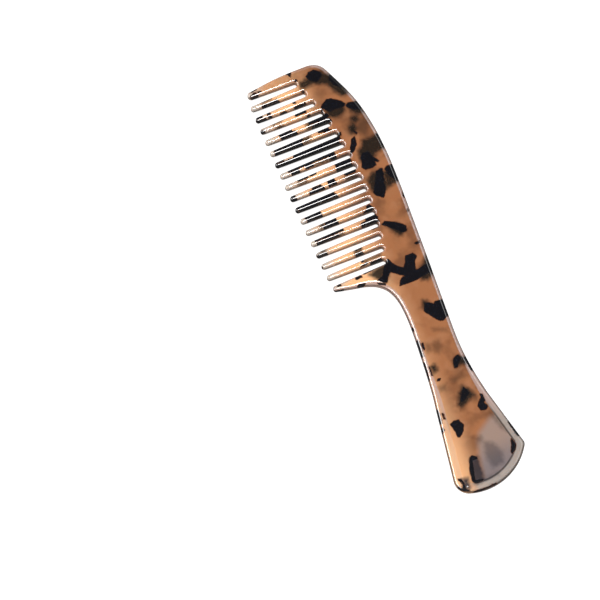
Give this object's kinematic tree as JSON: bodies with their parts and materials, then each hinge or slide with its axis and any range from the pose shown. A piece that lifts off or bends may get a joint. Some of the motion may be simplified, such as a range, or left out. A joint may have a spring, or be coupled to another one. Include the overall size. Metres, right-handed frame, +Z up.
{
  "type": "handle comb",
  "caption": "Flat tortoiseshell acetate hair comb with one row of tapering teeth, a curved spine and a flared, bevelled handle.",
  "frame": {"origin": "centre of the footprint, on the underside that rests on the table", "axes": "+Y along the comb from the handle's end to the head, -X the way the teeth point, +Z up out of the upper flat face"},
  "size_m": [0.0485, 0.1991, 0.005],
  "materials": {
    "acetate": "polished, translucent amber with near-black flakes"
  },
  "bodies": {
    "root": {"comb_body": "acetate"}
  },
  "joints": []
}
